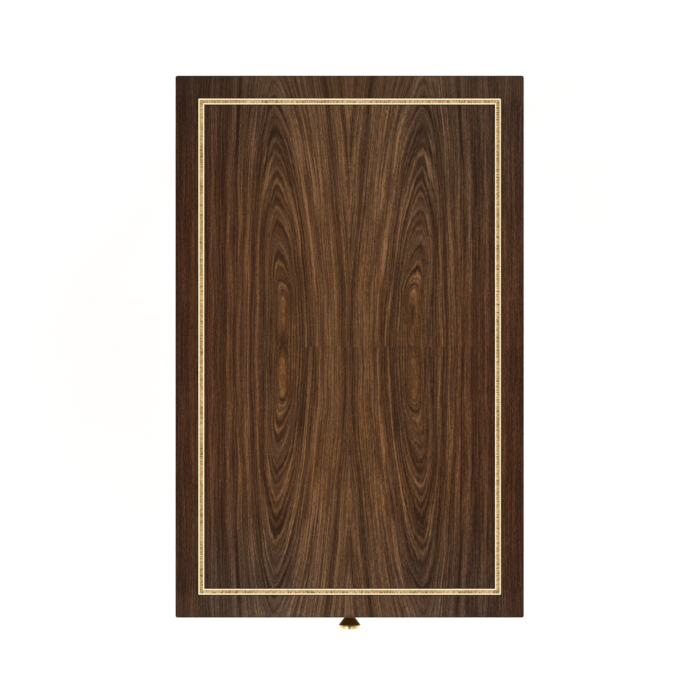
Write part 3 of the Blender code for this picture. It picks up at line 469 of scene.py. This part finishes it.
def figured_veneer(name, out, away, leaf):
    """One leaf of crown-cut veneer, folded over from its neighbours about both seams."""
    g = Graph(name, specular=0.38)
    x, y, _ = g.millimetres()
    across = g.times(x, out)
    along = g.times(g.less(y, TOP_CENTRE_Y / MM), away)
    depth = leaf["depth"]
    ring, flank, seam_side = crown_rings(g, leaf, across, along)
    crown, place = crown_tone(g, leaf, along, ring, flank, seam_side)

    sideways = g.math("ABSOLUTE", flank)
    in_arcs = g.times(g.stretch(sideways, *ARCS_SIDEWAYS), g.stretch(ring, *ARCS_FROM))
    outside_eye = g.stretch(ring, *HEART_RINGS)
    broad = g.noise((ring, along, across), BROAD_CELL, detail=1.0)
    lines = g.noise((ring, along, across), LINE_CELL, detail=1.0)
    drift = g.times(g.noise((across, along, depth + 11), DRIFT_CELL), LINE_DRIFT)
    phase = g.add(g.times(place, 2 * math.pi / LINE_PITCH), drift)
    streaked = g.stretch(place, *STREAKED_RINGS, FLECK_DEPTH, FLECK_DEPTH_NEAR_SEAM)
    flecks = g.noise((across, along, depth + 5), FLECK_CELL, detail=1.0)
    specks = g.noise((across, along, depth + 7), SPECK_CELL, detail=0.0)
    cloud = g.noise((across, along, depth + 9), CLOUD_CELL, detail=1.0)
    tone = g.add(
        g.times(crown, g.less(RING_DEPTH, g.times(in_arcs, RING_DEPTH_LOST_IN_ARCS))),
        g.times(g.stretch(broad, -0.16, 0.16, -BROAD_DEPTH, BROAD_DEPTH), outside_eye),
        g.times(
            g.stretch(lines, -0.17, 0.17, -LINE_DEPTH, LINE_DEPTH),
            g.less(1.0, g.times(in_arcs, LINE_SHARE_LOST_IN_ARCS)),
            outside_eye,
        ),
        g.times(g.math("COSINE", phase), outside_eye, EVEN_LINE_DEPTH),
        g.times(g.stretch(flecks, -0.2, 0.2, -1.0, 1.0), g.between(seam_side, FLECK_DEPTH, streaked)),
        g.times(specks, SPECK_DEPTH),
        g.times(cloud, CLOUD_DEPTH),
        edge_lines(g, across, along),
        slow_light(g, leaf, across, along, sideways),
    )
    by_seam = g.stretch(across, *BY_LONG_SEAM, CALM_BY_SEAM, 0.0)
    by_seam = g.times(by_seam, g.stretch(along, *CALM_ENDS, 1.0, 0.0))
    in_end = g.times(g.stretch(along, *END_BORDER), leaf["end_calm"])
    tone = g.between(g.add(in_end, by_seam), tone, CALM_TONE)
    g.bump(g.stretch(flecks, 0.06, 0.20, 1.0, 0.0), VENEER_PORE)
    return g.finish(veneer_colour(g, leaf, across, along, ring, tone), g.add(0.24, g.times(lines, 0.06)))


# What differs from leaf to leaf. In millimetres: where the crown's axis and eye lie, how far in its rings
# are moved, how much closer in the outer ones lie and from where along, where the wood turns cooler and
# loses its gold, and how far the eye lies off the axis. Depth picks the noise's pattern, and the eye's rings
# are like the lists above. The rest are lightness and shares
LEAVES = {
    ("back", "left"): {
        "axis": 91.8, "eye": 52.0, "offset": 0.0, "closer": 6.9, "closer_from": (-1, 0), "depth": 0.0,
        "light": 0.0, "side_light": -0.08, "far_light": 0.07, "end_light": -0.15, "corner_light": -0.06,
        "end_calm": 0.22, "cool": 0.65, "cool_from": 190.0, "side_cool": 1.0, "gold": (30.0, 240.0),
        "eye_shift": -4.7, "seam_light": -0.30, "under_light": -0.08,
        "eye_rings": ((0, 1.10), (3, 1.00), (5, 0.40), (10, 0.85), (13, 0.10), (15, 0.60)),
    },
    ("front", "left"): {
        "axis": 92.2, "eye": 47.0, "offset": 0.0, "closer": 0.0, "closer_from": (-1, 0), "depth": 0.15,
        "light": 0.0, "side_light": -0.08, "far_light": 0.06, "end_light": 0.07, "corner_light": 0.12,
        "end_calm": 0.12, "cool": 0.95, "cool_from": 190.0, "side_cool": 0.3, "gold": (160.0, 320.0),
        "eye_shift": -4.3, "seam_light": -0.15, "under_light": -0.04,
        "eye_rings": ((0, 0.80), (4, 1.10), (7, 0.10), (10, 0.80), (13, 0.80), (15, 0.10), (16, 0.60)),
    },
    ("back", "right"): {
        "axis": 89.4, "eye": 56.0, "offset": -1.6, "closer": 6.9, "closer_from": (10, 110), "depth": 0.3,
        "light": 0.02, "side_light": 0.03, "far_light": 0.05, "end_light": -0.15, "corner_light": 0.06,
        "end_calm": 0.22, "cool": 0.65, "cool_from": 20.0, "side_cool": 1.0, "gold": (30.0, 240.0),
        "eye_shift": -7.0, "seam_light": -0.05, "under_light": -0.38,
        "eye_rings": ((0, 0.65), (3, 1.05), (4, 1.00), (7, 0.25), (11, 1.05), (14, 0.10), (15, 0.55)),
    },
    ("front", "right"): {
        "axis": 89.6, "eye": 49.0, "offset": 1.6, "closer": 0.0, "closer_from": (-1, 0), "depth": 0.45,
        "light": -0.03, "side_light": -0.02, "far_light": 0.02, "end_light": 0.06, "corner_light": 0.02,
        "end_calm": 0.12, "cool": 0.7, "cool_from": 190.0, "side_cool": 0.1, "gold": (200.0, 340.0),
        "eye_shift": -5.4, "seam_light": -0.12, "under_light": 0.0,
        "eye_rings": ((0, 0.55), (6, 0.75), (9, 0.55), (14, 0.30), (17, 0.95)),
    },
}


# Solid woods and inlays

# How far noise bends a solid wood's rings, in millimetres, and the cells of its noises: two sizes across the
# grain and one along it, or the length along it alone
BEND = 9.0
BEND_CELL = (60, 60, 260)
WOOD_CLOUD_CELL = (35, 35, 110)
WOOD_HUE_CELL = (16, 16, 130)
WOOD_RING_LENGTH = 420
WOOD_LINE_LENGTH = 150
WOOD_FLECK_WIDTH = 0.7


def solid_wood(name, grain, look):
    """Straight-grained wood. Its growth rings stand round a line along the grain, well off to one side."""
    g = Graph(name, specular=look["specular"])
    place = g.millimetres()
    along = place[grain]
    u, v = (part for index, part in enumerate(place) if index != grain)
    if grain != UP:
        v = g.less(v, HEART_Z / MM)
    point = (u, v, along)
    bend = g.times(g.noise(point, BEND_CELL), BEND)
    ring = g.add(g.math("SQRT", g.add(g.times(u, u), g.times(v, v))), bend)
    pitch = look["pitch"]
    rings = g.noise((ring, along, 0.0), (pitch, WOOD_RING_LENGTH), roughness=0.6)
    lines = g.noise((ring, along, 5.0), (pitch / 3, WOOD_LINE_LENGTH), detail=1.0)
    flecks = g.noise(point, (WOOD_FLECK_WIDTH, WOOD_FLECK_WIDTH, look["fleck_length"]), detail=1.0)
    cloud = g.noise(point, WOOD_CLOUD_CELL, detail=1.0)
    tone = g.add(
        0.5,
        g.times(rings, look["ring_depth"]),
        g.times(lines, look["line_depth"]),
        g.times(flecks, look["fleck_depth"]),
        g.times(cloud, 0.5),
    )
    colour = g.tones(tone, look["colours"])
    hue = g.times(g.noise(point, WOOD_HUE_CELL), 3.0)
    colour = g.mix(g.stretch(hue, 0.0, 1.0, 0.0, look["tint"]), colour, RED_TINT, "MULTIPLY")
    colour = g.mix(g.stretch(hue, 0.0, -1.0, 0.0, look["tint"]), colour, GOLD_TINT, "MULTIPLY")
    g.bump(g.stretch(flecks, 0.06, 0.22, 1.0, 0.0), look["pore"])
    return g.finish(colour, g.add(look["roughness"], g.times(lines, 0.12), g.times(cloud, 0.06)))


# Ring spacing, fleck length and pore depth are millimetres
WOODS = {
    "rosewood": {
        "colours": ((44, 24, 12), (62, 38, 23), (80, 52, 33), (99, 66, 41), (134, 92, 56)),
        "pitch": 3.2, "ring_depth": 1.5, "line_depth": 1.0, "fleck_length": 7.0, "fleck_depth": 0.7,
        "tint": 0.7, "pore": 0.03, "roughness": 0.30, "specular": 0.32,
    },
    "maple": {
        "colours": ((176, 138, 94), (198, 164, 120), (212, 182, 140), (222, 196, 156), (230, 208, 172)),
        "pitch": 4.5, "ring_depth": 0.9, "line_depth": 0.35, "fleck_length": 9.0, "fleck_depth": 0.3,
        "tint": 0.35, "pore": 0.015, "roughness": 0.50, "specular": 0.4,
    },
    "beech": {
        "colours": ((150, 104, 68), (180, 136, 96), (196, 154, 112), (208, 168, 126), (220, 184, 144)),
        "pitch": 3.5, "ring_depth": 0.7, "line_depth": 0.3, "fleck_length": 2.4, "fleck_depth": 0.9,
        "tint": 0.3, "pore": 0.02, "roughness": 0.58, "specular": 0.4,
    },
    "core_board": {
        "colours": ((66, 44, 28), (86, 60, 40), (104, 76, 52), (118, 88, 62), (138, 106, 76)),
        "pitch": 7.0, "ring_depth": 0.8, "line_depth": 0.4, "fleck_length": 3.5, "fleck_depth": 0.7,
        "tint": 0.4, "pore": 0.03, "roughness": 0.68, "specular": 0.3,
    },
}


HOLLY = ((254, 232, 190), (255, 244, 208), (255, 250, 218), (255, 253, 224), (255, 254, 230))
# The glue's warmth on a string, from this far off its middle line on, in millimetres
GLUE_TINT = (1.0, 0.73, 0.46, 1.0)
GLUE_REACH = (0.35, 0.75)
# Cells of the inlays' noises, in millimetres, the banding's along its run and across it
STRING_FINE_CELL = (1.6, 1.6, 1.6)
STRING_PATCH_CELL = (14, 14, 14)
STROKE_CELL = (0.9, 7)
TICK_CELL = (2.1, 16)
BAND_DRIFT_CELL = (24, 30)
# The depth of the inlays' pores, in millimetres
INLAY_PORES = {"string": 0.015, "band": 0.02}
# The banding's colours, for the strips along the ends and for those along the sides
BAND_TONES = {
    ALONG: ((112, 74, 38), (156, 114, 68), (190, 151, 99), (208, 174, 123), (228, 198, 150)),
    DEEP: ((106, 68, 28), (150, 108, 52), (182, 143, 81), (203, 166, 104), (224, 192, 134)),
}


def holly_string(name, middle=None):
    """Cream stringing, its grain too fine to have a direction. A string in the top, whose middle line lies
    that many millimetres in from the edge, takes some of the glue's warmth along both sides."""
    g = Graph(name)
    point = g.millimetres()
    x, y, _ = point
    fine = g.noise(point, STRING_FINE_CELL)
    patch = g.noise(point, STRING_PATCH_CELL, detail=1.0)
    tone = g.add(0.62, g.times(fine, 0.9), g.times(patch, 0.7))
    colour = g.tones(tone, HOLLY)
    if middle:
        rim = rim_distance(g, g.math("ABSOLUTE", x), g.math("ABSOLUTE", g.less(y, TOP_CENTRE_Y / MM)))
        beside = g.stretch(g.math("ABSOLUTE", g.less(rim, middle)), *GLUE_REACH)
        colour = g.mix(beside, colour, GLUE_TINT, "MULTIPLY")
    g.bump(g.add(fine, 0.5), INLAY_PORES["string"])
    return g.finish(colour, g.add(0.27, g.times(fine, 0.08)))


def crossbanding(name, run):
    """Tan banding cut across the grain, so short dark and light strokes cross it all along its run."""
    g = Graph(name)
    place = g.millimetres()
    along, across = place[run], place[1 - run]
    strokes = g.noise((along, across, 3.0), STROKE_CELL, detail=1.0)
    ticks = g.noise((along, across, 11.0), TICK_CELL, detail=0.0)
    drift = g.noise((along, across, 17.0), BAND_DRIFT_CELL, detail=1.0)
    tone = g.add(0.59, g.times(strokes, 2.8), g.times(drift, 0.8), g.stretch(ticks, 0.08, 0.24, 0.0, -0.55))
    colour = g.tones(tone, BAND_TONES[run])
    g.bump(g.add(strokes, 0.5), INLAY_PORES["band"])
    return g.finish(colour, g.add(0.28, g.times(strokes, 0.10)))


# Metals

# The knob's painted shade on its neck and flare: its darker brass, how much of it shows, and how unevenly
# and over what height, in millimetres, it fades
NECK_SHADE_BRASS = (104, 74, 32)
NECK_SHADE_SHARE = 0.62
NECK_SHADE_UNEVEN = 2.5
NECK_SHADE_FADE = 2.0
SABOT_BRASS = ((152, 112, 52), (178, 138, 72), (198, 160, 94), (216, 182, 118), (232, 206, 146))
KNOB_BRASS = ((164, 132, 66), (194, 164, 92), (218, 192, 124), (236, 216, 156), (246, 232, 182))
ZINC = ((140, 142, 142), (168, 170, 168), (190, 190, 186))
# Cells of the metals' noises, in millimetres
TARNISH_CELL = (9, 9, 9)
RUB_CELL = (0.5, 0.5, 5.0)
SPANGLE_CELL = (1.2, 1.2, 1.2)
# The depth of the metals' fine relief, in millimetres
METAL_RELIEF = {"brass": 0.002, "zinc": 0.01}


def polished_brass(name, roughness, colours, shade_up_to=None):
    """Brass with a hand-rubbed polish: faint cloudy tarnish and a lighter, finer wear over it. A knob gets
    painted shade: darker brass on its neck and flare, up to the height given."""
    g = Graph(name, metallic=1.0)
    point = g.millimetres()
    cloud = g.noise(point, TARNISH_CELL, detail=3.0, roughness=0.6)
    rubs = g.noise(point, RUB_CELL, detail=1.0)
    tone = g.add(0.55, g.times(cloud, 0.25), g.times(rubs, 0.15))
    colour = g.tones(tone, colours)
    # Painted shade: the knob's neck and flare, up to its rim, drawn towards a darker brass
    if shade_up_to:
        height = g.add(point[UP], g.times(cloud, NECK_SHADE_UNEVEN))
        neck_shade = g.stretch(height, shade_up_to - NECK_SHADE_FADE, shade_up_to, NECK_SHADE_SHARE, 0.0)
        colour = g.mix(neck_shade, colour, linear(*NECK_SHADE_BRASS))
    g.bump(g.add(rubs, 0.5), METAL_RELIEF["brass"])
    return g.finish(colour, g.add(roughness, g.times(cloud, 0.10), g.times(rubs, 0.05)))


def zinc_steel(name):
    """Zinc-plated steel with fine spangles."""
    g = Graph(name, metallic=1.0)
    spangle = g.noise(g.millimetres(), SPANGLE_CELL)
    colour = g.tones(g.add(0.5, g.times(spangle, 1.5)), ZINC)
    g.bump(g.add(spangle, 0.5), METAL_RELIEF["zinc"])
    return g.finish(colour, g.add(0.34, g.times(spangle, 0.25)))


# Which pieces get which look. Grain runs along the axis given.
CORNERS = tuple(f"{end}_{side}" for end in ENDS for side in SIDES)
SOLID_PIECES = {
    ("rosewood", ALONG): (
        "lipping_front", "lipping_back", "apron_back", "front_top_rail", "front_bottom_rail", "drawer_front",
    ),
    ("rosewood", DEEP): ("lipping_left", "lipping_right", "apron_left", "apron_right"),
    ("rosewood", UP): tuple(f"leg_{corner}" for corner in CORNERS),
    ("maple", ALONG): ("drawer_back", "drawer_bottom"),
    ("maple", DEEP): ("drawer_side_left", "drawer_side_right"),
    ("beech", ALONG): ("drawer_stop_left", "drawer_stop_right"),
    ("beech", DEEP): ("runner_left", "runner_right", "kicker_left", "kicker_right"),
    ("beech", UP): ("turn_button",),
    ("core_board", DEEP): ("top_core",),
}
BANDING_PIECES = {ALONG: ("front", "back"), DEEP: ("left", "right")}


def dress(names, material):
    for name in names:
        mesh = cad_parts[name].data
        mesh.materials.clear()
        mesh.materials.append(material)


def dress_top():
    for (end, side), leaf in LEAVES.items():
        look = figured_veneer(f"veneer_{end}_{side}", SIDES[side], ENDS[end], leaf)
        dress((f"field_veneer_{end}_{side}", f"border_veneer_{end}_{side}"), look)
    for run, places in BANDING_PIECES.items():
        dress([f"centre_band_{place}" for place in places], crossbanding(f"satinwood_{run}", run))
    for ring in ("outer", "inner"):
        low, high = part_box(f"{ring}_string_left")
        look = holly_string(f"holly_{ring}", ((low.x + high.x) / 2 - LEAF_LOW.x) / MM)
        dress([f"{ring}_string_{place}" for places in BANDING_PIECES.values() for place in places], look)
    dress(("drawer_string",), holly_string("holly"))


def dress_solids():
    for (wood, grain), names in SOLID_PIECES.items():
        dress(names, solid_wood(f"{wood}_{grain}", grain, WOODS[wood]))
    dress([f"sabot_{corner}" for corner in CORNERS], polished_brass("sabot_brass", 0.19, SABOT_BRASS))


# Turned pieces

# The angle from which an edge shows as an edge
SHARP = math.radians(32)
# The knob's sizes in metres. A pair is a radius and the height over the drawer's front
KNOB_STEPS = 160
KNOB_FLANGE = (0.0088, 0.0016)
KNOB_NECK = 0.0060
KNOB_WAIST = (0.0066, 0.0155)
KNOB_NECK_BELOW_WAIST = 0.0035
KNOB_FLARE = (0.0098, 0.0187)
KNOB_EDGE = 0.0003
KNOB_EDGE_AT = 0.0259
KNOB_QUIRK = (0.0137, 0.0263)
KNOB_SHOULDER = (0.0139, 0.0276)
KNOB_STEP = (0.0119, 0.0293)
KNOB_STEP_HEIGHT = 0.0007
# The screws' sizes in metres, and the shank's radius as a share of the head's
SCREW_STEPS = 64
SHANK_SHARE = 0.46
HEAD_HEIGHTS = {"top_screw": 0.0026, "knob_screw": 0.0026, "turn_button_screw": 0.0022}
SLOT_WIDTH = 0.0009
SLOT_DEPTH = 0.0010
# The turn that points a piece's own Z to the front
FORWARD = (math.pi / 2, 0.0, 0.0)


def arc(centre, radius, start, stop, count):
    """Points of (radius, height) round a centre, between two angles in degrees from the outward side."""
    points = []
    for step in range(count + 1):
        turn = math.radians(start + (stop - start) * step / count)
        points.append((centre[0] + radius * math.cos(turn), centre[1] + radius * math.sin(turn)))
    return points


def turned(name, profile, steps):
    """A closed mesh turned about Z. The profile runs from axis to axis, top first, as (radius, height)."""
    points = [(0.0, 0.0, profile[0][1])]
    for radius, height in profile[1:-1]:
        for step in range(steps):
            turn = 2 * math.pi * step / steps
            points.append((radius * math.cos(turn), radius * math.sin(turn), height))
    points.append((0.0, 0.0, profile[-1][1]))
    last = len(points) - 1
    low = last - steps
    faces = []
    for step in range(steps):
        after = (step + 1) % steps
        faces.append((0, 1 + step, 1 + after))
        faces.append((last, low + after, low + step))
        for first in range(1, low, steps):
            faces.append((first + step, first + steps + step, first + steps + after, first + after))
    mesh = bpy.data.meshes.new(name)
    mesh.from_pydata(points, [], faces)
    mesh.shade_smooth()
    mesh.set_sharp_from_angle(angle=SHARP)
    return mesh


def stand(mesh, place, turn):
    piece = bpy.data.objects.new(mesh.name, mesh)
    piece.location = place
    piece.rotation_euler = turn
    bpy.context.scene.collection.objects.link(piece)
    return piece


def bend(first, corner, last, count):
    """Points of a smooth bend from first to last, drawn towards the corner."""
    points = []
    for step in range(count + 1):
        share = step / count
        points.append(tuple(
            (1 - share) ** 2 * a + 2 * share * (1 - share) * b + share**2 * c
            for a, b, c in zip(first, corner, last)
        ))
    return points


def knob_profile(length, rim):
    """A shallow dome on a step, the shoulder, a quirk, the thin rim, the flare, the neck and foot."""
    flange, flange_height = KNOB_FLANGE
    face, step_at = KNOB_STEP
    dome_at = step_at + KNOB_STEP_HEIGHT
    dome = []
    for angle in range(0, 93, 3):
        turn = math.radians(angle)
        dome.append((face * math.sin(turn), dome_at + (length - dome_at) * math.cos(turn)))
    shoulder = bend(KNOB_STEP, (KNOB_SHOULDER[0], step_at), KNOB_SHOULDER, 10)
    thin = arc((rim - KNOB_EDGE, KNOB_EDGE_AT), KNOB_EDGE, 90, -48, 8)
    flare = bend(KNOB_FLARE, KNOB_WAIST, (KNOB_NECK, KNOB_WAIST[1] - KNOB_NECK_BELOW_WAIST), 14)
    foot = arc((KNOB_NECK + flange_height, 2 * flange_height), flange_height, 180, 270, 10)
    edge = arc((flange - flange_height / 2, flange_height / 2), flange_height / 2, 90, -60, 10)
    base = [(flange - flange_height / 2, 0.0), (0.0, 0.0)]
    return dome + shoulder + [KNOB_QUIRK] + thin + flare + foot + edge + base


def make_knob():
    low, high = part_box("knob")
    mesh = turned("brass_knob", knob_profile(high.y - low.y, (high.x - low.x) / 2), KNOB_STEPS)
    knob = stand(mesh, Vector(((low.x + high.x) / 2, high.y, (low.z + high.z) / 2)), FORWARD)
    knob.data.materials.append(polished_brass("knob_brass", 0.08, KNOB_BRASS, KNOB_EDGE_AT / MM))
    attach(knob, "drawer")
    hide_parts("knob")


def slotted(screw, head, head_height):
    """The screw's mesh with a driver slot sawn across its head."""
    work = bmesh.new()
    bmesh.ops.create_cube(work, size=1.0)
    for vert in work.verts:
        vert.co.x *= 3 * head
        vert.co.y *= SLOT_WIDTH
        vert.co.z = vert.co.z * 2 * SLOT_DEPTH - head_height
    mesh = bpy.data.meshes.new("saw")
    work.to_mesh(mesh)
    work.free()
    saw = stand(mesh, screw.location, screw.rotation_euler)
    kerf = screw.modifiers.new("slot", "BOOLEAN")
    kerf.operation = "DIFFERENCE"
    kerf.solver = "EXACT"
    kerf.object = saw
    bpy.context.view_layer.update()
    done = bpy.data.meshes.new_from_object(screw.evaluated_get(bpy.context.evaluated_depsgraph_get()))
    screw.modifiers.clear()
    screw.data = done
    bpy.data.objects.remove(saw)
    done.shade_smooth()
    done.set_sharp_from_angle(angle=SHARP)


def make_screw(node, body, head_height, forward, look):
    """A domed slotted screw where the frame has a plain one, its shank up or towards the front."""
    low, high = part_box(node)
    head = (high.x - low.x) / 2
    shank = head * SHANK_SHARE
    length = (high.y - low.y if forward else high.z - low.z) - head_height
    dome = [(head * math.cos(math.radians(angle)), -head_height * math.sin(math.radians(angle)))
            for angle in range(10, 90, 8)]
    profile = [(0.0, length), (shank / 4, length), (shank, length - 2 * shank), (shank, 0.0), (head, 0.0)]
    mesh = turned(f"{node}_turned", profile + dome + [(0.0, -head_height)], SCREW_STEPS)
    middle = (low + high) / 2
    seat = Vector((middle.x, high.y - head_height, middle.z)) if forward else Vector(
        (middle.x, middle.y, low.z + head_height)
    )
    screw = stand(mesh, seat, FORWARD if forward else (0.0, 0.0, 0.0))
    slotted(screw, head, head_height)
    screw.data.materials.clear()
    screw.data.materials.append(look)
    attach(screw, body)
    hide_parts(node)


def make_screws():
    look = zinc_steel("zinc_steel")
    for corner in CORNERS:
        make_screw(f"top_screw_{corner}", "frame", HEAD_HEIGHTS["top_screw"], False, look)
    for node in ("knob_screw", "turn_button_screw"):
        make_screw(node, "drawer", HEAD_HEIGHTS[node], True, look)


def make_camera():
    data = bpy.data.cameras.new("camera")
    data.lens = CAMERA_LENS
    data.sensor_width = CAMERA_SENSOR
    camera = bpy.data.objects.new("camera", data)
    camera.location = CAMERA_PLACE
    bpy.context.scene.collection.objects.link(camera)
    bpy.context.scene.camera = camera


def make_floor():
    """A white floor. Its glow shows to the camera and in reflections, more so far out where the lamps
    don't reach, and lights nothing."""
    mesh = bpy.data.meshes.new("floor")
    work = bmesh.new()
    bmesh.ops.create_grid(work, x_segments=1, y_segments=1, size=FLOOR_HALF)
    work.to_mesh(mesh)
    work.free()
    floor = bpy.data.objects.new("floor", mesh)
    floor.location.z = -FLOOR_DROP
    bpy.context.scene.collection.objects.link(floor)
    g = Graph("floor", specular=0.0)
    path = g.nodes.new("ShaderNodeLightPath").outputs
    seen = g.add(path["Is Camera Ray"], path["Is Glossy Ray"], path["Is Transmission Ray"])
    g.shader.inputs["Emission Color"].default_value = (1.0, 1.0, 1.0, 1.0)
    x, y, _ = g.millimetres()
    distance = g.times(g.math("SQRT", g.add(g.times(x, x), g.times(y, y))), MM)
    glow = g.stretch(distance, GLOW_FROM, GLOW_TO, FLOOR_GLOW, FAR_GLOW)
    g.put(g.shader.inputs["Emission Strength"], g.times(seen, glow))
    floor.data.materials.append(g.finish((FLOOR_ALBEDO, FLOOR_ALBEDO, FLOOR_ALBEDO, 1.0), FLOOR_ROUGHNESS))


def make_world():
    """Soft light all round, white in a band over the horizon and dim overhead."""
    world = bpy.data.worlds.new("studio")
    bpy.context.scene.world = world
    world.use_nodes = True
    nodes, links = world.node_tree.nodes, world.node_tree.links
    place = nodes.new("ShaderNodeTexCoord")
    parts = nodes.new("ShaderNodeSeparateXYZ")
    links.new(place.outputs["Generated"], parts.inputs[0])
    light = nodes.new("ShaderNodeMapRange")
    light.inputs["From Min"].default_value = HORIZON_BAND
    light.inputs["From Max"].default_value = 1.0
    light.inputs["To Min"].default_value = HORIZON_LIGHT
    light.inputs["To Max"].default_value = ZENITH_LIGHT
    links.new(parts.outputs["Z"], light.inputs["Value"])
    links.new(light.outputs[0], nodes["Background"].inputs["Strength"])
    nodes["Background"].inputs["Color"].default_value = (1.0, 1.0, 1.0, 1.0)


def make_lamps():
    target = Vector((0.0, TOP_CENTRE_Y, TOP_Z))
    for name, azimuth, elevation, power in LAMPS:
        data = bpy.data.lights.new(name, "AREA")
        data.energy = power
        data.shape = "SQUARE"
        data.size = LAMP_SIZE
        lamp = bpy.data.objects.new(name, data)
        turn, tilt = math.radians(azimuth), math.radians(elevation)
        away = Vector((math.sin(turn) * math.cos(tilt), -math.cos(turn) * math.cos(tilt), math.sin(tilt)))
        lamp.location = target + away * LAMP_DISTANCE
        lamp.rotation_euler = away.to_track_quat("Z", "Y").to_euler()
        bpy.context.scene.collection.objects.link(lamp)


dress_top()
dress_solids()
make_knob()
make_screws()
make_camera()
make_floor()
make_world()
make_lamps()
bpy.context.scene.view_settings.view_transform = "Standard"
